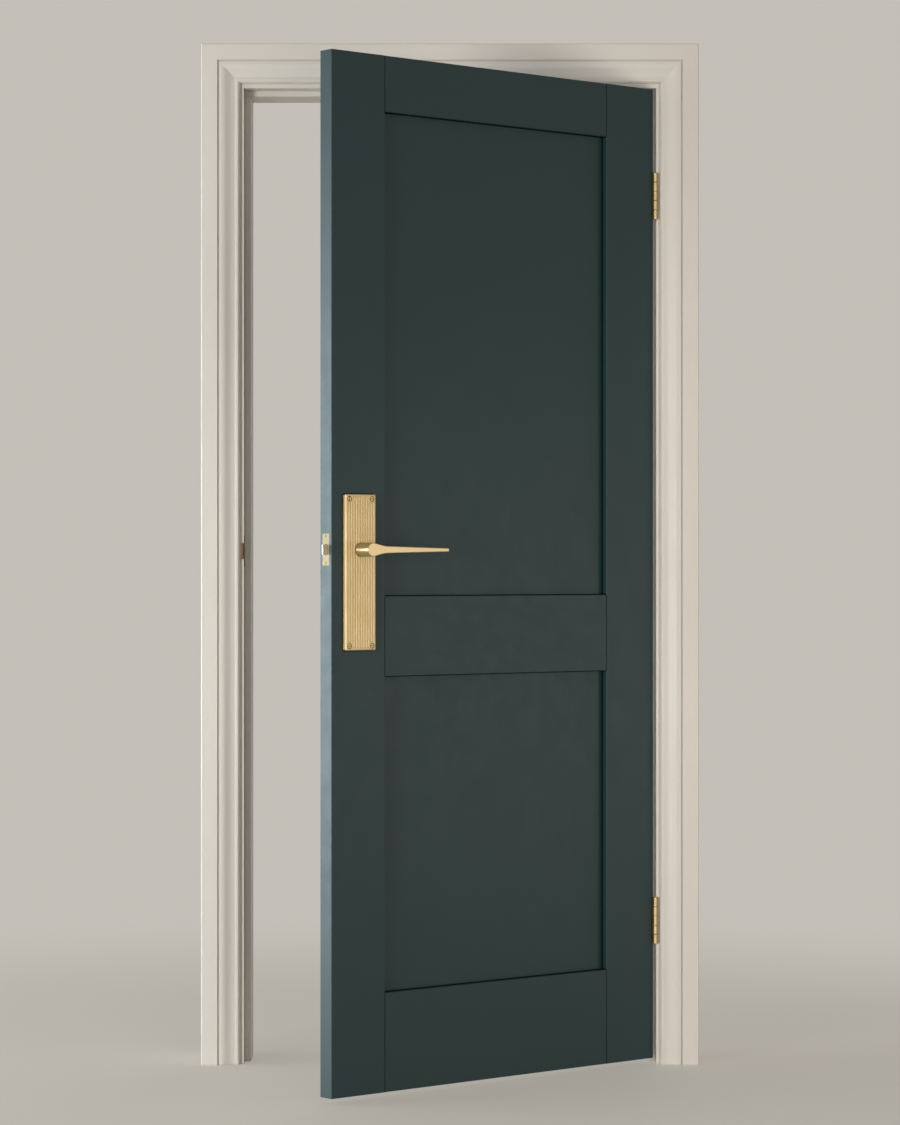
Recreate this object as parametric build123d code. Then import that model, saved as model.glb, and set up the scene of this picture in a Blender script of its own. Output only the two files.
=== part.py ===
from build123d import *
from math import cos, radians, sin
import os

# A shaker door standing ajar in its frame. Sizes are in millimetres.
# The origin is in the middle of the doorway, on the floor, in the plane of the wall's front face.
# +X points to the hinge side, +Y through the wall and +Z up. The leaf opens towards -Y.

# Leaf: two stiles, three rails and two flat panels
leaf_width = 838.0
leaf_height = 1981.0
leaf_thickness = 35.0
open_angle = 40.3
stile_width = 130.0
top_rail_width = 107.0
middle_rail_width = 153.0
middle_rail_foot = 795.0
bottom_rail_width = 190.0
panel_thickness = 9.0
panel_tongue = 10.0
panel_play = 2.0
tenon_thickness = 12.0
tenon_length = 45.0
tenon_shoulder = 25.0
tenon_play = 1.0
edge_bevel = 1.0

# Gaps round the closed leaf
side_gap = 3.0
top_gap = 3.0
floor_gap = 13.0
stop_gap = 2.0

# Frame: linings, planted stops and moulded architraves
lining_thickness = 32.0
lining_depth = 138.0
housing_depth = 10.0
stop_thickness = 12.0
stop_width = 94.0
stop_round = 1.5
architrave_width = 79.0
architrave_thickness = 20.0
reveal = 7.0
head_reveal = 9.5

# Architrave moulding, from its inner edge outwards
inner_edge_height = 6.5
fillet_width = 1.5
bead_width = 9.5
bead_height = 10.8
bead_fall = 0.5
cove_width = 17.0
cove_top = 15.2
cove_bend = 0.52
cove_sag = 0.3
ovolo_width = 15.0
ovolo_height = 18.0
ovolo_fall = 0.35
ovolo_crown = 0.74
quirk_width = 3.0
quirk_floor = 15.5
outer_round = 1.5

# Butt hinges
hinge_height = 95.0
hinge_plate_width = 30.0
hinge_plate_thickness = 2.5
upper_hinge_drop = 171.0
lower_hinge_rise = 234.0
knuckle_radius = 5.0
knuckle_count = 5
knuckle_gap = 0.3
knuckle_bevel = 0.6
knuckle_relief = 0.4
pin_radius = 3.0
pin_play = 0.05
pin_stand_off = 5.5
hinge_screw_length = 25.0
hinge_screw_head_radius = 3.9
hinge_screw_radius = 2.0
hinge_screw_stagger = 5.0
hinge_screw_count = 4

# Back plates
backset = 64.5
plate_width = 73.0
plate_height = 296.0
plate_thickness = 8.0
plate_skin = 3.0
plate_rim = 3.0
plate_boss_radius = 8.0
plate_drop = 43.0
plate_corner_radius = 2.0
plate_bevel = 1.6
reed_count = 11
reed_pitch = 6.0
reed_radius = 1.5
reed_depth = 0.8
reed_border = 4.4
plate_screw_inset = 9.0
plate_screw_end_inset = 8.5
plate_screw_length = 23.0
plate_screw_head_radius = 4.0
plate_screw_radius = 2.0
screw_pad_radius = 7.6
screw_sink = 1.6
screw_rise = 1.4
screw_sink_radius = 5.4

# Lever handles and their spindle
lever_height = 1036.5
lever_length = 188.0
lever_reach = 37.5
lever_hub_radius = 13.0
lever_arm_start = 38.0
lever_arm_height = 13.3
lever_tip_height = 6.5
lever_hub_thickness = 9.0
lever_tip_thickness = 6.0
lever_front_bevel = 1.2
hub_flow_angle = 80.0
spigot_radius = 9.0
spigot_end_gap = 1.3
bush_wall = 2.0
bush_flange_radius = 14.0
bush_flange_thickness = 1.0
bush_boss_radius = 17.0
ring_thickness = 1.1
ring_radius = 12.0
ring_groove_depth = 0.9
ring_mouth = 9.0
spindle_width = 8.0
spindle_grip = 26.0
spindle_play = 0.1
spindle_hole_radius = 10.0
grub_radius = 2.5
grub_length = 8.0
grub_place = 0.4
grub_key_width = 2.5

# Mortice latch
faceplate_width = 20.0
faceplate_height = 60.0
faceplate_thickness = 3.0
faceplate_screw_inset = 4.5
faceplate_screw_length = 20.0
faceplate_screw_head_radius = 3.2
faceplate_screw_radius = 1.7
case_thickness = 14.0
case_height = 42.0
case_behind_spindle = 26.0
case_wall = 1.2
case_play = 0.5
pillar_radius = 2.5
pillar_inset = 1.5
bolt_throw = 12.0
bolt_height = 18.0
bolt_thickness = 11.0
bolt_nose = 1.5
bolt_tail_start = 24.0
bolt_play = 0.3
tail_thickness = 3.0
tail_bar_height = 2.2
horn_radius = 2.0
horn_reach = 14.7
horn_backlash = 0.4
lug_length = 5.6
lug_foot = 8.0
follower_radius = 7.0
spring_radius = 3.5
spring_wire_radius = 0.45
spring_turns = 7
spring_length = 32.0
spring_drop = 13.0
spring_stop_thickness = 3.0
spring_leg_thickness = 6.0

# Strike plate in the latch jamb
strike_height = 64.0
strike_width = 27.0
strike_thickness = 2.0
strike_play_y = 1.0
strike_play_z = 1.5
strike_screw_inset = 7.0
strike_lip_height = 32.0
strike_lip_reach = 4.0
strike_lip_bend_radius = 5.0
pocket_depth = 15.0

# Small clearances shared by the fittings
running_gap = 0.3
fit_play = 0.05
screw_rim = 0.3
screw_slot_width = 1.2
screw_slot_depth = 1.1
cut_over = 1.0

# Places worked out from the sizes
leaf_half = leaf_width / 2
leaf_foot = floor_gap
leaf_head = leaf_foot + leaf_height
opening_half = leaf_half + side_gap
opening_head = leaf_head + top_gap
frame_half = opening_half + lining_thickness
middle_of_leaf = leaf_thickness / 2
stop_face = leaf_thickness + stop_gap
bottom_rail_head = leaf_foot + bottom_rail_width
middle_rail_low = leaf_foot + middle_rail_foot
middle_rail_head = middle_rail_low + middle_rail_width
top_rail_foot = leaf_head - top_rail_width
panel_half = leaf_half - stile_width
pin_x = leaf_half + side_gap / 2
pin_y = -pin_stand_off
architrave_inner = opening_half + reveal
architrave_foot = opening_head + head_reveal
spindle_x = -leaf_half + backset
spindle_z = leaf_foot + lever_height
plate_back = -middle_of_leaf
plate_front = plate_back - plate_thickness
plate_mid_z = -plate_drop

# The leaf swings about the hinge pins, and its lock sits round the spindle
AJAR = Pos(pin_x, pin_y, 0) * Rot(0, 0, open_angle) * Pos(-pin_x, -pin_y, 0)
AT_SPINDLE = Pos(spindle_x, middle_of_leaf, spindle_z)
BACK_OF_LEAF = Plane.XZ


def block(x, y, z):
    """A box between the low and high values along each axis."""
    (x0, x1), (y0, y1), (z0, z1) = sorted(x), sorted(y), sorted(z)
    middle = Pos((x0 + x1) / 2, (y0 + y1) / 2, (z0 + z1) / 2)
    return middle * Box(x1 - x0, y1 - y0, z1 - z0)


def rod(start, direction, radius, length):
    """A round bar from its start point along a direction."""
    return extrude(Plane(start, z_dir=direction) * Circle(radius), length)


def screw_form(head_radius, radius, length, grow=0.0):
    """A countersunk screw hanging down from its flat head at the origin, or its hole if grown."""
    head = head_radius + grow
    shank = radius + grow
    neck = -screw_rim - (head_radius - radius)
    top = cut_over if grow else 0.0
    end = -length - grow
    outline = Polyline(
        (0, top),
        (head, top),
        (head, -screw_rim),
        (shank, neck),
        (shank, end + 2 * shank),
        (0, end),
        close=True,
    )
    return revolve(Plane.XZ * make_face(outline), Axis.Z)


def wood_screw(head_radius, radius, length, rise=0.0):
    """A slotted countersunk wood screw, with a head that may stand up from its seat."""
    half = screw_slot_width / 2
    slot = block((-head_radius, head_radius), (-half, half), (rise - screw_slot_depth, rise + cut_over))
    body = screw_form(head_radius, radius, length)
    if rise:
        body += rod((0, 0, -screw_rim), (0, 0, 1), head_radius, screw_rim + rise)
    return body - slot


def bevelled(timber, *directions):
    """Takes the sharp edges off a timber, along the given directions."""
    for direction in directions:
        timber = chamfer(timber.edges().filter_by(direction), edge_bevel)
    return timber


# Leaf joinery


def panel(low, high):
    """A flat panel that fills an opening and enters the grooves round it."""
    half = panel_half + panel_tongue
    y = (middle_of_leaf - panel_thickness / 2, middle_of_leaf + panel_thickness / 2)
    return block((-half, half), y, (low - panel_tongue, high + panel_tongue))


def panel_space(low, high):
    """The grooves for a panel, with room for it to move."""
    half = panel_half + panel_tongue + panel_play
    y = (middle_of_leaf - panel_thickness / 2, middle_of_leaf + panel_thickness / 2)
    reach = panel_tongue + panel_play
    return block((-half, half), y, (low - reach, high + reach))


def tenon(side, low, high, play=0.0):
    """One end of a rail, let into its stile, or the mortice for it."""
    y = (middle_of_leaf - tenon_thickness / 2, middle_of_leaf + tenon_thickness / 2)
    z = (low + tenon_shoulder, high - tenon_shoulder)
    return block((side * panel_half, side * (panel_half + tenon_length + play)), y, z)


def rail(low, high):
    """A rail between the stiles, with a tenon at each end."""
    body = block((-panel_half, panel_half), (0, leaf_thickness), (low, high))
    body = bevelled(body, Axis.X, Axis.Z)
    for side in (-1, 1):
        body += tenon(side, low, high)
    return body


def stile(side):
    """A full-height stile with a mortice for each rail."""
    x = (side * panel_half, side * leaf_half)
    body = bevelled(block(x, (0, leaf_thickness), (leaf_foot, leaf_head)), Axis.Z)
    for low, high in rail_spans():
        body -= tenon(side, low, high, tenon_play)
    return body


def rail_spans():
    """The foot and head of each rail, from the bottom up."""
    return [
        (leaf_foot, bottom_rail_head),
        (middle_rail_low, middle_rail_head),
        (top_rail_foot, leaf_head),
    ]


def leaf_timbers():
    """The painted joinery of the leaf, closed, with every recess cut for its fittings."""
    spaces = panel_space(bottom_rail_head, middle_rail_low) + panel_space(middle_rail_head, top_rail_foot)
    bottom, middle, top = [rail(low, high) - spaces for low, high in rail_spans()]
    lock = stile(-1) - spaces
    hinge = stile(1) - spaces
    for hole in [AT_SPINDLE * latch_mortice()] + plate_screw_holes():
        lock -= hole
        middle -= hole
    for foot in hinge_feet():
        hinge -= hinge_recess(foot, -1)
        for hole in hinge_screws(foot, -1, fit_play):
            hinge -= hole
    return {
        "lock_stile": lock,
        "hinge_stile": hinge,
        "bottom_rail": bottom,
        "middle_rail": middle,
        "top_rail": top,
        "lower_panel": panel(bottom_rail_head, middle_rail_low),
        "upper_panel": panel(middle_rail_head, top_rail_foot),
    }


# Frame joinery


def jamb(side):
    """One upright of the lining, housed into the head."""
    x = (side * opening_half, side * frame_half)
    return block(x, (0, lining_depth), (0, opening_head + housing_depth))


def head_lining():
    """The head of the lining, resting on both uprights."""
    z = (opening_head, opening_head + lining_thickness)
    body = block((-frame_half, frame_half), (0, lining_depth), z)
    return body - jamb(-1) - jamb(1)


def side_stop(side):
    """The stop planted on an upright, that the leaf closes against."""
    inner = opening_half - stop_thickness
    y = (stop_face, stop_face + stop_width)
    body = block((side * inner, side * opening_half), y, (0, opening_head - stop_thickness))
    inner_edges = body.edges().filter_by(Axis.Z).sort_by(Axis.X)
    return fillet(inner_edges[:2] if side > 0 else inner_edges[2:], stop_round)


def head_stop():
    """The stop planted under the head."""
    y = (stop_face, stop_face + stop_width)
    body = block((-opening_half, opening_half), y, (opening_head - stop_thickness, opening_head))
    return fillet(body.edges().filter_by(Axis.X).sort_by(Axis.Z)[:2], stop_round)


def architrave_section():
    """The moulding's outline: across the face from its inner edge, and out from the wall."""
    bead = fillet_width + bead_width
    cove = bead + cove_width
    ovolo = cove + ovolo_width
    quirk = ovolo + quirk_width
    edge = (fillet_width, inner_edge_height)
    bead_top = (fillet_width + bead_height - inner_edge_height, bead_height)
    foot = (bead, bead_height - bead_fall)
    hollow = (bead + cove_width * cove_bend, foot[1] + (cove_top - foot[1]) * cove_sag)
    shoulder = (cove, cove_top)
    ovolo_top = (cove + ovolo_width * ovolo_crown, ovolo_height)
    brow = (ovolo, ovolo_height - ovolo_fall)
    band = (architrave_width - outer_round, architrave_thickness)
    side = (architrave_width, architrave_thickness - outer_round)
    outline = [
        Line((0, 0), (0, inner_edge_height)),
        Line((0, inner_edge_height), edge),
        TangentArc(edge, bead_top, tangent=(0, 1)),
        TangentArc(bead_top, foot, tangent=(1, 0)),
        ThreePointArc(foot, hollow, shoulder),
        ThreePointArc(shoulder, ovolo_top, brow),
        Line(brow, (ovolo, quirk_floor)),
        Line((ovolo, quirk_floor), (quirk, quirk_floor)),
        Line((quirk, quirk_floor), (quirk, architrave_thickness)),
        Line((quirk, architrave_thickness), band),
        Line(band, side),
        Line(side, (architrave_width, 0)),
        Line((architrave_width, 0), (0, 0)),
    ]
    return make_face(outline)


def mitre_plane(side):
    """The 45 degree cut at a top corner of the architrave, facing the head piece."""
    return Plane((side * architrave_inner, 0, architrave_foot), z_dir=(-side, 0, 1))


def architrave_leg():
    """The front upright moulding on the hinge side, mitred at its head."""
    top = architrave_foot + architrave_width
    section = Plane((architrave_inner, 0, top), x_dir=(1, 0, 0), z_dir=(0, 0, -1)) * architrave_section()
    return split(extrude(section, top), mitre_plane(1), keep=Keep.BOTTOM)


def architrave_head():
    """The front moulding over the doorway, mitred at both ends."""
    half = architrave_inner + architrave_width
    section = Plane((-half, 0, architrave_foot), x_dir=(0, 0, 1), z_dir=(1, 0, 0)) * architrave_section()
    body = split(extrude(section, 2 * half), mitre_plane(1), keep=Keep.TOP)
    return split(body, mitre_plane(-1), keep=Keep.TOP)


def architraves():
    """The mouldings on both faces of the wall."""
    middle_of_wall = Plane((0, lining_depth / 2, 0), z_dir=(0, 1, 0))
    leg = architrave_leg()
    front = {
        "hinge_architrave": leg,
        "latch_architrave": mirror(leg, Plane.YZ),
        "head_architrave": architrave_head(),
    }
    pieces = {f"front_{name}": piece for name, piece in front.items()}
    for name, piece in front.items():
        pieces[f"rear_{name}"] = mirror(piece, middle_of_wall)
    return pieces


def frame_timbers():
    """The painted joinery of the frame, with every recess cut for its fittings."""
    hinge = jamb(1)
    for foot in hinge_feet():
        hinge -= hinge_recess(foot, 1)
        for hole in hinge_screws(foot, 1, fit_play):
            hinge -= hole
    return {
        "hinge_jamb": hinge,
        "latch_jamb": jamb(-1) - strike_recess(),
        "head_jamb": head_lining(),
        "hinge_stop": side_stop(1),
        "latch_stop": side_stop(-1),
        "head_stop": head_stop(),
        **architraves(),
    }


# Butt hinges: side is 1 on the frame and -1 on the leaf


def hinge_feet():
    """The height of each hinge's lower end."""
    upper = leaf_head - upper_hinge_drop - hinge_height
    return [upper, leaf_foot + lower_hinge_rise]


def hinge_plate(foot, side, depth=0.0):
    """The flat of a hinge leaf, let in flush with the timber."""
    face = pin_x + side * side_gap / 2
    x = (face, face + side * hinge_plate_thickness)
    return block(x, (depth, hinge_plate_width), (foot, foot + hinge_height))


def hinge_recess(foot, side):
    """The recess for a hinge leaf, open at the timber's front edge."""
    return hinge_plate(foot, side, -cut_over)


def knuckle(low, length):
    """One knuckle, with the sharp edges off its ends."""
    body = rod((pin_x, pin_y, low), (0, 0, 1), knuckle_radius, length)
    return chamfer(body.edges().filter_by(GeomType.CIRCLE), knuckle_bevel)


def hinge_leaf(foot, side):
    """A hinge leaf rolled into its own knuckles: three on the frame, two on the door."""
    body = hinge_plate(foot, side, pin_y)
    step = hinge_height / knuckle_count
    half_gap = knuckle_gap / 2
    own = 0 if side > 0 else 1
    for index in range(1 - own, knuckle_count, 2):
        start = (pin_x, pin_y, foot + index * step - half_gap)
        body -= rod(start, (0, 0, 1), knuckle_radius + knuckle_relief, step + knuckle_gap)
    for index in range(own, knuckle_count, 2):
        body += knuckle(foot + index * step + half_gap, step - knuckle_gap)
    bore_start = (pin_x, pin_y, foot - cut_over)
    body -= rod(bore_start, (0, 0, 1), pin_radius + pin_play, hinge_height + 2 * cut_over)
    for hole in hinge_screws(foot, side, fit_play):
        body -= hole
    return body


def hinge_pin(foot):
    """The pin through all the knuckles of one hinge."""
    return rod((pin_x, pin_y, foot), (0, 0, 1), pin_radius, hinge_height)


def hinge_screws(foot, side, grow=0.0):
    """The staggered screws of one hinge leaf, or their holes if grown."""
    form = screw_form(hinge_screw_head_radius, hinge_screw_radius, hinge_screw_length, grow)
    if not grow:
        form = wood_screw(hinge_screw_head_radius, hinge_screw_radius, hinge_screw_length)
    face = pin_x + side * side_gap / 2
    pitch = hinge_height / hinge_screw_count
    screws = []
    for index in range(hinge_screw_count):
        offset = hinge_screw_stagger if index % 2 else -hinge_screw_stagger
        seat = (face, hinge_plate_width / 2 + offset, foot + (index + 0.5) * pitch)
        screws.append(Plane(seat, x_dir=(0, 0, 1), z_dir=(-side, 0, 0)) * form)
    return screws


def hinges_on(side):
    """Both hinge leaves on one side, with all their screws as one group."""
    owner = "frame" if side > 0 else "door"
    pieces = {}
    screws = []
    for name, foot in zip(("upper", "lower"), hinge_feet()):
        pieces[f"{name}_hinge_{owner}_leaf"] = hinge_leaf(foot, side)
        if side > 0:
            pieces[f"{name}_hinge_pin"] = hinge_pin(foot)
        screws += hinge_screws(foot, side)
    pieces[f"{owner}_hinge_screws"] = Compound(screws)
    return pieces


# Strike plate


def strike_outline():
    """The flat of the strike plate on the latch jamb, let in flush."""
    y = (middle_of_leaf - strike_width / 2, middle_of_leaf + strike_width / 2)
    z = (spindle_z - strike_height / 2, spindle_z + strike_height / 2)
    return block((-opening_half - strike_thickness, -opening_half), y, z)


def strike_tongue():
    """The tongue of the strike plate, flat across the jamb and bent back past its front edge."""
    z = (spindle_z - strike_lip_height / 2, spindle_z + strike_lip_height / 2)
    flat = block((-opening_half - strike_thickness, -opening_half), (0, middle_of_leaf), z)
    bend_x = -opening_half - strike_lip_bend_radius
    start = Plane((bend_x, 0, z[0]))
    ring = extrude(start * Circle(strike_lip_bend_radius), strike_lip_height)
    ring -= extrude(start * Circle(strike_lip_bend_radius - strike_thickness), strike_lip_height)
    corner = block((bend_x, -opening_half), (-strike_lip_reach, 0), z)
    return flat + (ring & corner)


def bolt_pocket():
    """The opening that the latch bolt enters, through the strike plate and into the jamb."""
    half_y = bolt_thickness / 2 + strike_play_y
    half_z = bolt_height / 2 + strike_play_z
    x = (-opening_half - pocket_depth, -opening_half + cut_over)
    y = (middle_of_leaf - half_y, middle_of_leaf + half_y)
    return block(x, y, (spindle_z - half_z, spindle_z + half_z))


def strike_plate():
    """The plate with its tongue, bolt hole and screw holes."""
    body = strike_outline() + strike_tongue() - bolt_pocket()
    for hole in strike_screws(fit_play):
        body -= hole
    return body


def strike_screws(grow=0.0):
    """The two screws of the strike plate, or their holes if grown."""
    form = screw_form(faceplate_screw_head_radius, faceplate_screw_radius, faceplate_screw_length, grow)
    if not grow:
        form = wood_screw(faceplate_screw_head_radius, faceplate_screw_radius, faceplate_screw_length)
    screws = []
    for side in (-1, 1):
        seat = (-opening_half, middle_of_leaf, spindle_z + side * (strike_height / 2 - strike_screw_inset))
        screws.append(Plane(seat, x_dir=(0, 0, 1), z_dir=(1, 0, 0)) * form)
    return screws


def strike_recess():
    """Everything cut from the latch jamb for the strike."""
    z = (spindle_z - strike_lip_height / 2, spindle_z + strike_lip_height / 2)
    path = block((-opening_half - strike_thickness, -opening_half), (-cut_over, middle_of_leaf), z)
    cut = strike_outline() + path + bolt_pocket()
    for hole in strike_screws(fit_play):
        cut += hole
    return cut


# Back plates, round the spindle: x towards the hinges, y through the leaf and z up


def plate_screw_seats():
    """The four screw places of a back plate."""
    half_x = plate_width / 2 - plate_screw_inset
    half_z = plate_height / 2 - plate_screw_end_inset
    return [(x, plate_mid_z + z) for x in (-half_x, half_x) for z in (-half_z, half_z)]


def reeds():
    """The parallel grooves down the face of a back plate, clear of the screw pads."""
    low = plate_mid_z - plate_height / 2 + reed_border
    length = plate_height - 2 * reed_border
    centre_y = plate_front - reed_radius + reed_depth
    cut = Part()
    for index in range(reed_count):
        x = (index - (reed_count - 1) / 2) * reed_pitch
        cut += rod((x, centre_y, low), (0, 0, 1), reed_radius, length)
    for x, z in plate_screw_seats():
        cut -= rod((x, plate_front - 2 * reed_radius, z), (0, 1, 0), screw_pad_radius, 4 * reed_radius)
    return cut


def plate_hollow():
    """The hollow back of a plate, with bosses left for the screws and the lever's bush."""
    half_x = plate_width / 2 - plate_rim
    half_z = plate_height / 2 - plate_rim
    y = (plate_front + plate_skin, plate_back)
    hollow = block((-half_x, half_x), y, (plate_mid_z - half_z, plate_mid_z + half_z))
    deep = plate_thickness - plate_skin
    for x, z in plate_screw_seats():
        hollow -= rod((x, plate_back, z), (0, -1, 0), plate_boss_radius, deep)
    boss = rod((0, plate_back, 0), (0, -1, 0), bush_boss_radius, deep)
    boss -= rod((0, plate_back, 0), (0, -1, 0), bush_flange_radius + running_gap, deep)
    return hollow - boss


def back_plate():
    """The front plate: bevelled, reeded, hollow behind, with its screw and bush holes."""
    half_z = plate_height / 2
    body = block(
        (-plate_width / 2, plate_width / 2),
        (plate_front, plate_back),
        (plate_mid_z - half_z, plate_mid_z + half_z),
    )
    body = fillet(body.edges().filter_by(Axis.Y), plate_corner_radius)
    body = chamfer(body.faces().sort_by(Axis.Y)[0].edges(), plate_bevel)
    body = body - plate_hollow() - reeds()
    body -= rod((0, plate_back, 0), (0, -1, 0), spigot_radius + fit_play + bush_wall, plate_thickness)
    for x, z in plate_screw_seats():
        body -= rod((x, plate_front, z), (0, 1, 0), screw_sink_radius, screw_sink)
    for hole in plate_screws(fit_play):
        body -= hole
    return body


def plate_screws(grow=0.0):
    """The screws of the front plate, or their holes if grown."""
    form = screw_form(plate_screw_head_radius, plate_screw_radius, plate_screw_length, grow)
    if not grow:
        form = wood_screw(plate_screw_head_radius, plate_screw_radius, plate_screw_length, screw_rise)
    screws = []
    for index, (x, z) in enumerate(plate_screw_seats()):
        slot = (0, 0, 1) if index == 1 else (1, 0, 0)
        seat = (x, plate_front + screw_sink, z)
        screws.append(Plane(seat, x_dir=slot, z_dir=(0, -1, 0)) * form)
    return screws


def plate_screw_holes():
    """The pilot holes of both plates, in the closed leaf."""
    front = plate_screws(fit_play)
    return [AT_SPINDLE * hole for hole in front + [mirror(hole, BACK_OF_LEAF) for hole in front]]


def lever_bush():
    """The flanged bush that a lever's spigot turns in."""
    skin_back = plate_front + plate_skin
    outer = spigot_radius + fit_play + bush_wall
    body = rod((0, plate_front + running_gap, 0), (0, 1, 0), outer, plate_skin - running_gap)
    body += rod((0, skin_back, 0), (0, 1, 0), bush_flange_radius, bush_flange_thickness)
    return body - rod((0, plate_front, 0), (0, 1, 0), spigot_radius + fit_play, plate_thickness)


# Lever handles


def lever_outline():
    """The lever seen from the front: a round hub that flows into a straight tapering arm."""
    arm = lever_arm_height / 2
    tip = lever_tip_height / 2
    slope = (tip - arm) / (lever_length - lever_arm_start)
    flow = radians(hub_flow_angle)
    top = (lever_hub_radius * cos(flow), lever_hub_radius * sin(flow))
    bottom = (top[0], -top[1])
    top_start = (lever_arm_start, arm)
    bottom_start = (lever_arm_start, -arm)
    outline = [
        ThreePointArc(top, (-lever_hub_radius, 0), bottom),
        Spline(top, top_start, tangents=((sin(flow), -cos(flow)), (1, slope))),
        Line(top_start, (lever_length, tip)),
        Line((lever_length, tip), (lever_length, -tip)),
        Line((lever_length, -tip), bottom_start),
        Spline(bottom_start, bottom, tangents=((-1, slope), (-sin(flow), -cos(flow)))),
    ]
    return make_face(outline)


def lever_side_view():
    """The lever seen from above: flat in front, thinning behind towards its tip."""
    front = plate_front - lever_reach
    start = -lever_hub_radius
    outline = Polyline(
        (start, front),
        (lever_length, front),
        (lever_length, front + lever_tip_thickness),
        (lever_hub_radius, front + lever_hub_thickness),
        (start, front + lever_hub_thickness),
        close=True,
    )
    return make_face(outline)


def front_lever():
    """The lever with its neck, spigot, square socket and grub screw hole."""
    front = plate_front - lever_reach
    shoulder = plate_front - running_gap
    arm = extrude(Plane.XZ * lever_outline(), lever_reach + middle_of_leaf + plate_thickness)
    arm &= Pos(0, 0, -lever_hub_radius) * extrude(lever_side_view(), 2 * lever_hub_radius)
    arm = chamfer(arm.edges().group_by(Axis.Y)[0], lever_front_bevel)
    neck_start = front + lever_hub_thickness / 2
    body = arm + rod((0, neck_start, 0), (0, 1, 0), lever_hub_radius, shoulder - neck_start)
    spigot_end = plate_back - spigot_end_gap
    body += rod((0, shoulder, 0), (0, 1, 0), spigot_radius, spigot_end - shoulder)
    body -= ring_groove()
    half = spindle_width / 2 + spindle_play
    body -= block((-half, half), (-spindle_half() - spindle_play, spigot_end), (-half, half))
    hole_radius = grub_radius + fit_play
    return body - rod((0, grub_y(), 0), (0, 0, -1), hole_radius, lever_hub_radius)


def ring_front():
    """Where the retaining ring starts, just behind the bush's flange."""
    return plate_front + plate_skin + bush_flange_thickness + running_gap


def ring_groove():
    """The groove in the spigot for the retaining ring."""
    width = ring_thickness + 2 * fit_play
    start = (0, ring_front() - fit_play, 0)
    groove = rod(start, (0, 1, 0), spigot_radius + cut_over, width)
    return groove - rod(start, (0, 1, 0), spigot_radius - ring_groove_depth, width)


def retaining_ring():
    """The open ring that holds a lever in its plate."""
    start = (0, ring_front(), 0)
    body = rod(start, (0, 1, 0), ring_radius, ring_thickness)
    body -= rod(start, (0, 1, 0), spigot_radius - ring_groove_depth + fit_play, ring_thickness)
    y = (ring_front() - cut_over, ring_front() + ring_thickness + cut_over)
    return body - block((-ring_mouth / 2, ring_mouth / 2), y, (-ring_radius - cut_over, 0))


def spindle_half():
    """Half the spindle's length, from the middle of the leaf into each lever."""
    return middle_of_leaf + plate_thickness + spindle_grip


def grub_y():
    """The place of the grub screw along a lever's neck."""
    return plate_front - lever_reach * grub_place


def grub_screw():
    """The socket grub screw that clamps a lever on its spindle."""
    start = (0, grub_y(), -spindle_width / 2 - fit_play)
    body = rod(start, (0, 0, -1), grub_radius, grub_length)
    end = Plane((0, grub_y(), start[2] - grub_length))
    return body - extrude(end * RegularPolygon(grub_key_width / 2, 6), grub_key_width)


def handle_parts():
    """Everything that turns with the spindle."""
    lever = front_lever()
    half = spindle_width / 2
    spindle = block((-half, half), (-spindle_half(), spindle_half()), (-half, half))
    return {
        "front_lever": lever,
        "rear_lever": mirror(lever, BACK_OF_LEAF),
        "spindle": spindle,
        "latch_follower": latch_follower(),
        "lever_grub_screws": Compound([grub_screw(), mirror(grub_screw(), BACK_OF_LEAF)]),
        "lever_retaining_rings": Compound([retaining_ring(), mirror(retaining_ring(), BACK_OF_LEAF)]),
    }


# Mortice latch, round the spindle


def case_front():
    """The front of the latch case, behind the faceplate."""
    return -backset + faceplate_thickness


def latch_mortice():
    """Everything cut from the lock stile for the latch and the spindle."""
    half_y = case_thickness / 2 + case_play
    half_z = case_height / 2 + case_play
    cut = block((-backset - cut_over, case_behind_spindle + case_play), (-half_y, half_y), (-half_z, half_z))
    half_y = faceplate_width / 2
    half_z = faceplate_height / 2
    cut += block((-backset - cut_over, case_front()), (-half_y, half_y), (-half_z, half_z))
    cut += rod((0, -leaf_thickness, 0), (0, 1, 0), spindle_hole_radius, 2 * leaf_thickness)
    for hole in faceplate_screws(fit_play):
        cut += hole
    return cut


def bolt_window(length):
    """The opening that the bolt slides through, from the faceplate inwards."""
    half_y = bolt_thickness / 2 + bolt_play
    half_z = bolt_height / 2 + bolt_play
    return block((-backset - cut_over, -backset + length), (-half_y, half_y), (-half_z, half_z))


def latch_faceplate():
    """The plate let into the leaf's lock edge."""
    half_y = faceplate_width / 2
    half_z = faceplate_height / 2
    body = block((-backset, case_front()), (-half_y, half_y), (-half_z, half_z))
    body -= bolt_window(faceplate_thickness + cut_over)
    for hole in faceplate_screws(fit_play):
        body -= hole
    return body


def faceplate_screws(grow=0.0):
    """The two screws of the faceplate, or their holes if grown."""
    form = screw_form(faceplate_screw_head_radius, faceplate_screw_radius, faceplate_screw_length, grow)
    if not grow:
        form = wood_screw(faceplate_screw_head_radius, faceplate_screw_radius, faceplate_screw_length)
    screws = []
    for side in (-1, 1):
        seat = (-backset, 0, side * (faceplate_height / 2 - faceplate_screw_inset))
        screws.append(Plane(seat, x_dir=(0, 0, 1), z_dir=(-1, 0, 0)) * form)
    return screws


def follower_hole():
    """The round hole through both sides of the case, that the follower turns in."""
    return rod((0, -case_thickness, 0), (0, 1, 0), follower_radius + fit_play, 2 * case_thickness)


def spring_stop_x():
    """The face of the case's stop that the bolt's spring pushes against."""
    return bolt_leg_back() + spring_length


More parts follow.
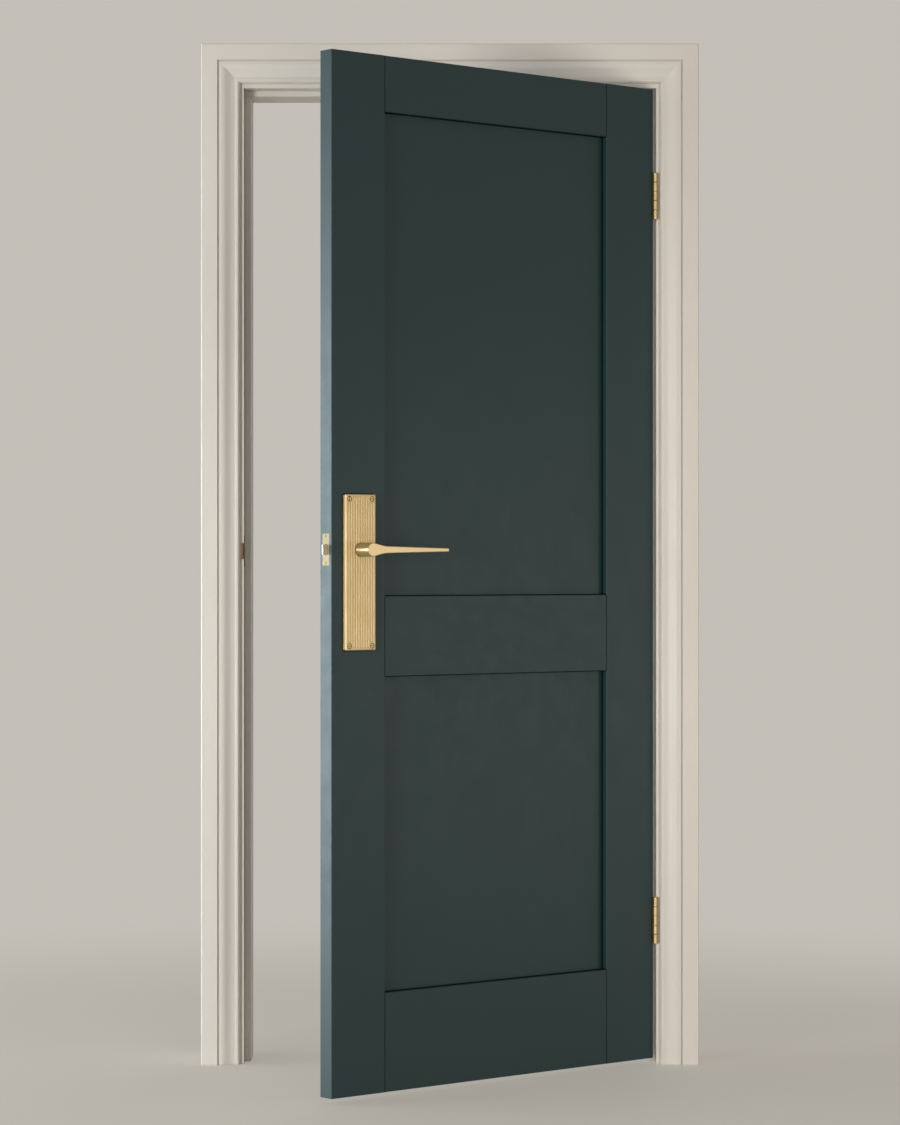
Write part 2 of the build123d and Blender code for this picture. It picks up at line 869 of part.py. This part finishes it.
def latch_case():
    """The tray of the latch: its back, four walls, three pillars and the spring's stop."""
    half_y = case_thickness / 2
    half_z = case_height / 2
    inner_y = (-half_y + case_wall, half_y - case_wall)
    inner_z = half_z - case_wall
    body = block((case_front(), case_behind_spindle), (-half_y + case_wall, half_y), (-half_z, half_z))
    inner_x = (case_front() + case_wall, case_behind_spindle - case_wall)
    body -= block(inner_x, (-half_y, half_y - case_wall), (-inner_z, inner_z))
    stop_x = (spring_stop_x(), spring_stop_x() + spring_stop_thickness)
    stop_top = -spring_drop + spring_radius
    body += block(stop_x, inner_y, (-inner_z, stop_top))
    front_x = inner_x[0] + pillar_inset
    back_x = inner_x[1] - pillar_inset
    pillar_z = inner_z - pillar_inset
    for x, z in ((front_x, pillar_z), (front_x, -pillar_z), (back_x, -pillar_z)):
        body += rod((x, inner_y[0], z), (0, 1, 0), pillar_radius, inner_y[1] - inner_y[0])
    body -= bolt_window(faceplate_thickness + case_wall + cut_over)
    return body - follower_hole()


def latch_cover():
    """The flat cover that closes the case."""
    half_y = case_thickness / 2
    half_z = case_height / 2
    body = block((case_front(), case_behind_spindle), (-half_y, -half_y + case_wall), (-half_z, half_z))
    return body - follower_hole()


def latch_follower():
    """The round hub on the spindle, with the horn that draws the bolt."""
    half_y = case_thickness / 2
    body = rod((0, -half_y, 0), (0, 1, 0), follower_radius, case_thickness)
    tail_y = (-tail_thickness / 2, tail_thickness / 2)
    body += block((-horn_radius, horn_radius), tail_y, (0, horn_reach))
    body += rod((0, tail_y[0], horn_reach), (0, 1, 0), horn_radius, tail_thickness)
    half = spindle_width / 2 + spindle_play
    return body - block((-half, half), (-half_y, half_y), (-half, half))


def bolt_leg_back():
    """The back of the bolt's head, and of the leg that the spring pushes on."""
    return -backset + bolt_tail_start


def latch_bolt():
    """The bevelled bolt with its spring leg and its tail, hooked over the follower's horn."""
    back = bolt_leg_back()
    tip = -backset - bolt_throw
    half_y = bolt_thickness / 2
    half_z = bolt_height / 2
    plan = Polyline(
        (tip, -half_y),
        (tip, -half_y + bolt_nose),
        (-backset, half_y),
        (back, half_y),
        (back, -half_y),
        close=True,
    )
    body = Pos(0, 0, -half_z) * extrude(make_face(plan), bolt_height)
    leg_low = -spring_drop - spring_radius
    body += block((back - spring_leg_thickness, back), (-half_y, half_y), (leg_low, 0))
    bar_low = horn_reach + horn_radius + running_gap
    bar_high = bar_low + tail_bar_height
    lug = horn_radius + horn_backlash
    web = bolt_throw + follower_radius + running_gap
    side_view = Polyline(
        (back, -half_z / 2),
        (back, half_z),
        (back + half_z, bar_high),
        (lug + lug_length, bar_high),
        (lug + lug_length, lug_foot),
        (lug, lug_foot),
        (lug, bar_low),
        (-web, bar_low),
        (-web - half_z / 2, -half_z / 2),
        close=True,
    )
    return body + extrude(Plane.XZ * make_face(side_view), tail_thickness / 2, both=True)


def bolt_spring():
    """The wire spring that throws the bolt out again."""
    pitch = (spring_length - 2 * spring_wire_radius) / spring_turns
    coil_radius = spring_radius - spring_wire_radius
    path = Helix(pitch, pitch * spring_turns, coil_radius)
    wire = Plane(path @ 0, z_dir=path % 0) * Circle(spring_wire_radius)
    body = sweep(wire, path, is_frenet=True)
    start = (bolt_leg_back() + spring_wire_radius, 0, -spring_drop)
    return Plane(start, x_dir=(0, 0, 1), z_dir=(1, 0, 0)) * body


def lock_parts():
    """The fittings that stay still in the leaf, round the spindle."""
    plate = back_plate()
    screws = plate_screws()
    bush = lever_bush()
    return {
        "latch_case": latch_case(),
        "latch_cover": latch_cover(),
        "latch_faceplate": latch_faceplate(),
        "latch_faceplate_screws": Compound(faceplate_screws()),
        "bolt_spring": bolt_spring(),
        "front_back_plate": plate,
        "rear_back_plate": mirror(plate, BACK_OF_LEAF),
        "front_plate_screws": Compound(screws),
        "rear_plate_screws": Compound([mirror(screw, BACK_OF_LEAF) for screw in screws]),
        "front_lever_bush": bush,
        "rear_lever_bush": mirror(bush, BACK_OF_LEAF),
    }


def door():
    """Every piece by name, with the leaf and what it carries standing ajar."""
    pieces = frame_timbers()
    pieces.update(hinges_on(1))
    pieces["strike_plate"] = strike_plate()
    pieces["strike_plate_screws"] = Compound(strike_screws())
    carried = leaf_timbers()
    carried.update(hinges_on(-1))
    for group in (lock_parts(), handle_parts(), {"latch_bolt": latch_bolt()}):
        for name, piece in group.items():
            carried[name] = AT_SPINDLE * piece
    for name, piece in carried.items():
        pieces[name] = AJAR * piece
    return pieces


os.makedirs("parts", exist_ok=True)
for node, solid in door().items():
    export_step(solid, f"parts/{node}.step")
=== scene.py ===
import math

import bpy
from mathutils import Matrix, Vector


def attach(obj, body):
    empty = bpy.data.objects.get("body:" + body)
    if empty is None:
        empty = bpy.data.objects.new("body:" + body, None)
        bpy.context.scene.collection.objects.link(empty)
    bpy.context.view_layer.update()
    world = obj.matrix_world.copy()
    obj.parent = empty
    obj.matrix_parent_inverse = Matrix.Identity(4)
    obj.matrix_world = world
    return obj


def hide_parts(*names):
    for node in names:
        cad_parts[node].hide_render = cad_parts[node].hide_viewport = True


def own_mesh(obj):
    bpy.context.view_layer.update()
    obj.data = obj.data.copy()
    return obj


# A shaker door standing ajar in its frame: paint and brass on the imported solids, in a pale studio.
# Lengths are in metres. The origin is in the middle of the doorway, on the floor, and the camera
# looks along +Y.

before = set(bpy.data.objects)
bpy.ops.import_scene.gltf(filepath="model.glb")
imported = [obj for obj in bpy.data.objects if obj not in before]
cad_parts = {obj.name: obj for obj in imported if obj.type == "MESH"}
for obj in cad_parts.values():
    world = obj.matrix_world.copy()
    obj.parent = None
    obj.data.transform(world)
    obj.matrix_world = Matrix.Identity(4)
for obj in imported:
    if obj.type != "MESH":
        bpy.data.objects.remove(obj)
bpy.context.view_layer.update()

# Camera, worked out from the floor line, the leaf's edges and the frame's edges in the photograph
PHOTO_SIZE = (900, 1125)
FOCAL_PIXELS = 3378
HORIZON_ROW = 570
CAMERA_PLACE = (0.0, -6.914, 1.011)
SENSOR = 36.0
CLIP_END = 200.0

# The leaf's turn from closed, for details that run along its rails
OPEN_ANGLE = math.radians(40.3)

# Colours, linear
BACKDROP = (0.55, 0.525, 0.48)
FLOOR = (0.86, 0.80, 0.70)
SKY_LIGHT = (1.0, 0.96, 0.89)
LEAF_PAINT = (0.010, 0.038, 0.042)
# Painted shade in the leaf's joints and close corners
LEAF_JOINT_SHADE = (0.001, 0.003, 0.003)
FRAME_PAINT = (0.76, 0.725, 0.675)
# Painted shade in the frame's joints and close corners
FRAME_JOINT_SHADE = (0.66, 0.61, 0.54)
# The brasses are copies of one brass, each darker or lighter for how its part is lit: the lever's,
# the hinges', the faceplate's, its screws' and the strike's are darker as painted shade, and the
# bolt's is lighter as a painted highlight
BRASS = (0.74, 0.595, 0.325)
LEVER_BRASS = (0.69, 0.545, 0.30)
PALE_BRASS = (0.42, 0.345, 0.215)
SHADED_HINGE_BRASS = (0.58, 0.45, 0.24)
DARK_BRASS = (0.20, 0.135, 0.06)
BOLT_METAL = (0.95, 0.87, 0.70)
# Tarnish in the hollows of the brass, darkened further as painted shade in corners and grooves
PATINA_AND_SHADE = (0.16, 0.09, 0.035)
STEEL = (0.56, 0.56, 0.54)
SPRING_STEEL = (0.25, 0.25, 0.25)
NYLON = (0.80, 0.79, 0.75)

# What is left of each channel of a colour where it is tarnished or dulled
TARNISHED = (0.96, 0.945, 0.92)
DULLED = (0.93, 0.93, 0.93)

# Grain and brushing, as how fine they are along X, Y and Z
UPRIGHT = (260.0, 260.0, 7.0)
LEVEL = (7.0, 260.0, 260.0)
BRUSHED_UP = (5200.0, 5200.0, 55.0)
BRUSHED_ALONG = (55.0, 5200.0, 5200.0)

# How deep the fine relief is
GRAIN_DEPTH = 0.00006
STIPPLE_DEPTH = 0.000035
BRUSHING_DEPTH = 0.000001
SKIN_DEPTH = 0.00002

# A highlight on brushed metal is drawn out across the lines. Each direction leans a little, so that
# it never meets a face square on.
PLATE_LEAN = math.radians(6)
LEVER_LEAN = math.radians(9)
ACROSS_LEAF = (-math.cos(OPEN_ANGLE + PLATE_LEAN), -math.sin(OPEN_ANGLE + PLATE_LEAN), 0.0)
OUT_OF_LEAF = (math.sin(OPEN_ANGLE - LEVER_LEAN), -math.cos(OPEN_ANGLE - LEVER_LEAN), 0.0)

# Painted shade in corners and joints, darker where another face stands close: with tarnish on metal,
# and alone on paint. How near the other face is, and over which range of open air they fade out
CORNER_REACH = 0.0022
CORNER_RANGE = (0.58, 0.95)
JOINT_REACH = 0.003
JOINT_RANGE = (0.72, 0.95)

# Paint's usual mirror share, which fades to nothing inside a joint as painted shade
PAINT_SHINE = 0.5

# Light from all round, and how much of the backdrop a mirror shows
SKY_STRENGTH = 0.24
MIRRORED = 0.64

# A lamp with a narrow spread gives less light towards the door's top and foot, as through a grid
GRID = math.radians(100)
FINE_GRID = math.radians(70)

WINDOW = {
    "target": (0, -0.35, 0.9),
    "size": (3.0, 2.0),
    "power": 80.0,
    "colour": (0.80, 0.93, 1.0),
}

# A cool window on the left, a key light on the front from the left, a weak warm fill from the right,
# a small lamp at the side that the leaf's face mirrors, and a lamp for the back
LAMPS = {
    "window": {"place": (-3.7, -0.55, 0.9), **WINDOW},
    # The window again, for reflections alone: the leaf's edge shines and the pale frame doesn't clip
    "window_sheen": {"place": (-3.8, -0.55, 0.9), **WINDOW, "lit": False},
    "key": {
        "place": (-3.7, -5.7, 0.8),
        "target": (0.1, 0, 0.8),
        "size": (1.6, 1.8),
        "power": 59.0,
        "colour": (1.0, 0.985, 0.955),
        "spread": GRID,
    },
    "fill": {
        "place": (2.0, -7.0, 0.8),
        "target": (0.9, 0, 0.5),
        "size": (3.0, 2.0),
        "power": 17.0,
        "colour": (1.0, 0.90, 0.83),
        "spread": FINE_GRID,
    },
    "side": {
        "place": (4.6, -1.0, 0.75),
        "target": (0.1, -0.25, 0.8),
        "size": (1.4, 1.0),
        "power": 8.0,
        "colour": (1.0, 0.96, 0.92),
    },
    "back": {
        "place": (1.6, 7.0, 1.2),
        "target": (0, 0, 0.9),
        "size": (3.0, 2.4),
        "power": 120.0,
        "colour": (1.0, 0.97, 0.93),
        "mirrored": False,
    },
}

# Floor: real near the door, and the backdrop's own colour far from it
FLOOR_SIZE = 80.0
FLOOR_ROUGHNESS = 0.6
FADE_START = 0.9
FADE_END = 3.0
FADE_NEAR = 0.5


def opaque(colour):
    """A colour with full alpha."""
    return (*colour, 1.0)


def shaded(colour, shares):
    """A colour with each channel cut to its share."""
    return tuple(channel * share for channel, share in zip(colour, shares))


def put_in_scene(thing):
    """Links a new object to the scene."""
    bpy.context.scene.collection.objects.link(thing)


class Shader:
    """A node tree that is written from left to right."""

    def __init__(self, owner):
        owner.use_nodes = True
        self.tree = owner.node_tree
        self.tree.nodes.clear()

    def add(self, kind, inputs=None, **settings):
        """A node, with each input set to a value or linked from a socket."""
        made = self.tree.nodes.new("ShaderNode" + kind)
        for name, value in settings.items():
            setattr(made, name, value)
        for key, value in (inputs or {}).items():
            if isinstance(value, bpy.types.NodeSocket):
                self.tree.links.new(value, made.inputs[key])
            else:
                made.inputs[key].default_value = value
        return made

    def math(self, operation, *values):
        """One sum on numbers."""
        return self.add("Math", dict(enumerate(values)), operation=operation).outputs[0]

    def ramp(self, value, low, high, to_low=0.0, to_high=1.0, smooth=False):
        """Maps a value from one range to another, and holds it at the ends."""
        kind = "SMOOTHSTEP" if smooth else "LINEAR"
        inputs = {0: value, 1: low, 2: high, 3: to_low, 4: to_high}
        return self.add("MapRange", inputs, interpolation_type=kind).outputs[0]

    def mix(self, share, one, other, blend="MIX"):
        """Mixes two colours."""
        made = self.add("Mix", {0: share, 6: one, 7: other}, data_type="RGBA", blend_type=blend)
        return made.outputs[2]

    def place(self, scale=(1, 1, 1), turn=0.0):
        """The object's own coordinates, turned about Z and stretched."""
        where = self.add("TexCoord").outputs["Object"]
        if turn:
            where = self.add("Mapping", {"Vector": where, "Rotation": (0, 0, -turn)}).outputs[0]
        return self.add("Mapping", {"Vector": where, "Scale": scale}).outputs[0]

    def noise(self, where, scale, detail=2.0, roughness=0.5):
        """Soft noise between 0 and 1."""
        inputs = {"Vector": where, "Scale": scale, "Detail": detail, "Roughness": roughness}
        return self.add("TexNoise", inputs).outputs[0]

    def bump(self, height, distance, under=None):
        """Fine relief, over another where there is one."""
        inputs = {"Height": height, "Distance": distance, "Strength": 1.0}
        if under is not None:
            inputs["Normal"] = under
        return self.add("Bump", inputs).outputs[0]

    def open_air(self, reach, samples):
        """1 on an open face, and less where another face stands within reach."""
        return self.add("AmbientOcclusion", {"Distance": reach}, samples=samples).outputs["AO"]

    def finish(self, shader, kind="OutputMaterial"):
        """The output node."""
        self.add(kind, {0: shader})


def paint(name, colour, joint, roughness, grain, turn=0.0):
    """Satin paint on timber: roller stipple over faint grain, with painted shade in the joints,
    darker and duller there.
    """
    material = bpy.data.materials.new(name)
    s = Shader(material)
    plain = s.place()
    lengthways = s.place(grain, turn)
    tone = s.noise(plain, scale=1.7, detail=3.0)
    shade = s.ramp(tone, 0.3, 0.7, 0.955, 1.045)
    grey = s.add("CombineColor", {0: shade, 1: shade, 2: shade}).outputs[0]
    tint = s.mix(1.0, opaque(colour), grey, "MULTIPLY")
    # Painted shade: darker and less reflective where another face stands close, in joints and corners
    openness = s.ramp(s.open_air(JOINT_REACH, samples=16), *JOINT_RANGE)
    tint = s.mix(openness, opaque(joint), tint)
    shine = s.math("MULTIPLY", openness, PAINT_SHINE)
    cloud = s.noise(plain, scale=22.0, detail=3.0)
    fibres = s.noise(lengthways, scale=1.0, detail=3.0, roughness=0.6)
    patches = s.ramp(cloud, 0.3, 0.7, roughness - 0.03, roughness + 0.03)
    gloss = s.math("ADD", patches, s.ramp(fibres, 0.3, 0.7, -0.02, 0.02))
    normal = s.bump(fibres, GRAIN_DEPTH)
    normal = s.bump(s.noise(plain, scale=620.0), STIPPLE_DEPTH, normal)
    inputs = {"Base Color": tint, "Roughness": gloss, "Specular IOR Level": shine, "Normal": normal}
    s.finish(s.add("BsdfPrincipled", inputs).outputs[0])
    return material


def metal(name, colour, roughness, brushing, turn=0.0, spread=0.0, drawn=(0, 0, 1), metallic=1.0,
          patina_and_shade=None):
    """Satin metal brushed along one direction, with slight tarnish, and darker in corners: tarnish
    there and painted shade.
    """
    material = bpy.data.materials.new(name)
    s = Shader(material)
    plain = s.place()
    lines = s.noise(s.place(brushing, turn), scale=1.0)
    tarnish = s.noise(plain, scale=28.0, detail=4.0)
    tint = s.mix(s.ramp(tarnish, 0.45, 0.75), opaque(colour), opaque(shaded(colour, TARNISHED)))
    worn = s.ramp(tarnish, 0.3, 0.75, roughness - 0.02, roughness + 0.03)
    gloss = s.math("ADD", worn, s.ramp(lines, 0.3, 0.7, -0.01, 0.01))
    # Painted shade with tarnish: darker where another face stands close, in corners, grooves and
    # round the plate
    if patina_and_shade is not None:
        patina_and_shade_share = s.ramp(s.open_air(CORNER_REACH, samples=32), *CORNER_RANGE, 1.0, 0.0)
        tint = s.mix(patina_and_shade_share, tint, opaque(patina_and_shade))
    along = s.add("CombineXYZ", dict(enumerate(drawn))).outputs[0]
    spaces = {"vector_type": "VECTOR", "convert_from": "OBJECT", "convert_to": "WORLD"}
    turned = s.add("VectorTransform", {0: along}, **spaces)
    inputs = {
        "Base Color": tint,
        "Metallic": metallic,
        "Roughness": gloss,
        "Normal": s.bump(lines, BRUSHING_DEPTH),
        "Anisotropic": spread,
        "Tangent": turned.outputs[0],
    }
    s.finish(s.add("BsdfPrincipled", inputs).outputs[0])
    return material


def plastic(name, colour):
    """Moulded nylon."""
    material = bpy.data.materials.new(name)
    s = Shader(material)
    plain = s.place()
    skin = s.noise(plain, scale=900.0)
    tint = s.mix(s.noise(plain, scale=60.0), opaque(colour), opaque(shaded(colour, DULLED)))
    gloss = s.ramp(skin, 0.3, 0.7, 0.38, 0.46)
    inputs = {"Base Color": tint, "Roughness": gloss, "Normal": s.bump(skin, SKIN_DEPTH)}
    s.finish(s.add("BsdfPrincipled", inputs).outputs[0])
    return material


def looks_by_slot():
    """The usual look of each material that the solids name."""
    return {
        "leaf_paint": paint("leaf_paint_upright", LEAF_PAINT, LEAF_JOINT_SHADE, 0.42, UPRIGHT),
        "frame_paint": paint("frame_paint_upright", FRAME_PAINT, FRAME_JOINT_SHADE, 0.40, UPRIGHT),
        "brass": metal("brass_upright", BRASS, 0.58, BRUSHED_UP, spread=0.6, drawn=ACROSS_LEAF,
                       metallic=0.92, patina_and_shade=PATINA_AND_SHADE),
        "steel": metal("steel", STEEL, 0.34, BRUSHED_UP),
        "spring_steel": metal("spring_steel", SPRING_STEEL, 0.40, BRUSHED_ALONG, OPEN_ANGLE),
        "nylon": plastic("nylon", NYLON),
    }


def looks_by_name():
    """The nodes whose grain lies level, or whose metal is a darker or lighter copy of the brass, as
    painted shade or highlight.
    """
    leaf_level = paint("leaf_paint_level", LEAF_PAINT, LEAF_JOINT_SHADE, 0.42, LEVEL, OPEN_ANGLE)
    frame_level = paint("frame_paint_level", FRAME_PAINT, FRAME_JOINT_SHADE, 0.40, LEVEL)
    brass_level = metal("brass_level", LEVER_BRASS, 0.42, BRUSHED_ALONG, OPEN_ANGLE, spread=0.95,
                        drawn=OUT_OF_LEAF, metallic=0.92, patina_and_shade=PATINA_AND_SHADE)
    # Darker and lighter copies of the brass: painted shade on the hinges, faceplate, screws and
    # strike, a painted highlight on the bolt
    shaded_hinge_brass = metal("shaded_hinge_brass", SHADED_HINGE_BRASS, 0.46, BRUSHED_UP, metallic=0.92, patina_and_shade=PATINA_AND_SHADE)
    dark_brass = metal("dark_brass", DARK_BRASS, 0.46, BRUSHED_UP, metallic=0.8, patina_and_shade=PATINA_AND_SHADE)
    pale_brass = metal("pale_brass", PALE_BRASS, 0.70, BRUSHED_UP, metallic=0.6, patina_and_shade=PATINA_AND_SHADE)
    bolt_metal = metal("bolt_metal", BOLT_METAL, 0.38, BRUSHED_ALONG, OPEN_ANGLE, metallic=0.8)
    looks = {
        "top_rail": leaf_level,
        "middle_rail": leaf_level,
        "bottom_rail": leaf_level,
        "head_jamb": frame_level,
        "head_stop": frame_level,
        "front_head_architrave": frame_level,
        "rear_head_architrave": frame_level,
        "front_lever": brass_level,
        "rear_lever": brass_level,
        "latch_faceplate": pale_brass,
        "latch_faceplate_screws": dark_brass,
        "latch_bolt": bolt_metal,
        "strike_plate": dark_brass,
        "strike_plate_screws": dark_brass,
    }
    for hinge in ("upper_hinge", "lower_hinge"):
        for part in ("frame_leaf", "door_leaf", "pin"):
            looks[f"{hinge}_{part}"] = shaded_hinge_brass
    return looks


def dress(nodes):
    """Gives every CAD node its look, with grain and brushing along the piece."""
    by_slot = looks_by_slot()
    by_name = looks_by_name()
    for name, node in nodes.items():
        slot = node.data.materials[0].name.split(".")[0]
        material = by_name.get(name, by_slot.get(slot))
        if material is None:
            raise RuntimeError(f"no look for {name} with material {slot}")
        node.data.materials.clear()
        node.data.materials.append(material)


def make_spring():
    """The bolt's spring, which on the real latch shortens as the bolt is drawn in, as a plain copy
    that rides on the leaf.
    """
    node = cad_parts["bolt_spring"]
    coil = bpy.data.objects.new("bolt_spring_coil", node.data.copy())
    put_in_scene(coil)
    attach(coil, "leaf")
    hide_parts("bolt_spring")
    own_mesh(coil)


def make_camera():
    """The photograph's view."""
    data = bpy.data.cameras.new("camera")
    data.sensor_width = SENSOR
    data.lens = FOCAL_PIXELS * SENSOR / PHOTO_SIZE[1]
    data.shift_y = (HORIZON_ROW - PHOTO_SIZE[1] / 2) / PHOTO_SIZE[1]
    data.clip_end = CLIP_END
    camera = bpy.data.objects.new("camera", data)
    camera.location = CAMERA_PLACE
    camera.rotation_euler = (math.radians(90), 0, 0)
    put_in_scene(camera)
    bpy.context.scene.camera = camera


def seen(s):
    """1 where the camera or glass looks, less where a mirror looks, and 0 where light is gathered."""
    path = s.add("LightPath")
    direct = s.math("MAXIMUM", path.outputs["Is Camera Ray"], path.outputs["Is Transmission Ray"])
    return s.math("MAXIMUM", direct, s.math("MULTIPLY", path.outputs["Is Glossy Ray"], MIRRORED))


def make_world():
    """Even light from all round, behind a plain pale backdrop."""
    world = bpy.data.worlds.new("studio")
    bpy.context.scene.world = world
    s = Shader(world)
    sky = s.add("Background", {"Color": opaque(SKY_LIGHT), "Strength": SKY_STRENGTH})
    drop = s.add("Background", {"Color": opaque(BACKDROP), "Strength": 1.0})
    mixed = s.add("MixShader", {0: seen(s), 1: sky.outputs[0], 2: drop.outputs[0]})
    s.finish(mixed.outputs[0], "OutputWorld")


def make_floor():
    """A plain floor that fades into the backdrop away from the door."""
    half = FLOOR_SIZE / 2
    corners = [(-half, -half, 0), (half, -half, 0), (half, half, 0), (-half, half, 0)]
    mesh = bpy.data.meshes.new("floor")
    mesh.from_pydata(corners, [], [(0, 1, 2, 3)])
    floor = bpy.data.objects.new("floor", mesh)
    put_in_scene(floor)
    material = bpy.data.materials.new("floor")
    mesh.materials.append(material)
    s = Shader(material)
    reach = s.add("VectorMath", {0: s.place()}, operation="LENGTH").outputs["Value"]
    far = s.ramp(reach, FADE_START, FADE_END, FADE_NEAR, 1.0, smooth=True)
    fade = s.math("MULTIPLY", far, seen(s))
    ground = s.add("BsdfPrincipled", {"Base Color": opaque(FLOOR), "Roughness": FLOOR_ROUGHNESS})
    drop = s.add("Emission", {"Color": opaque(BACKDROP), "Strength": 1.0})
    mixed = s.add("MixShader", {0: fade, 1: ground.outputs[0], 2: drop.outputs[0]})
    s.finish(mixed.outputs[0])


def area_light(name, place, target, size, power, colour, spread=math.pi, mirrored=True, lit=True):
    """A lamp that faces its target. Surfaces may mirror it, be lit by it, or both."""
    data = bpy.data.lights.new(name, "AREA")
    data.shape = "RECTANGLE"
    data.size, data.size_y = size
    data.energy = power
    data.color = colour
    data.spread = spread
    light = bpy.data.objects.new(name, data)
    light.location = place
    light.rotation_euler = (Vector(target) - Vector(place)).to_track_quat("-Z", "Y").to_euler()
    light.visible_camera = False
    light.visible_glossy = mirrored
    light.visible_diffuse = lit
    put_in_scene(light)


def make_lights():
    """The soft lamps round the door."""
    for name, lamp in LAMPS.items():
        area_light(name, **lamp)


make_camera()
bpy.context.scene.view_settings.view_transform = "Standard"
dress(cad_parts)
make_spring()
make_world()
make_floor()
make_lights()
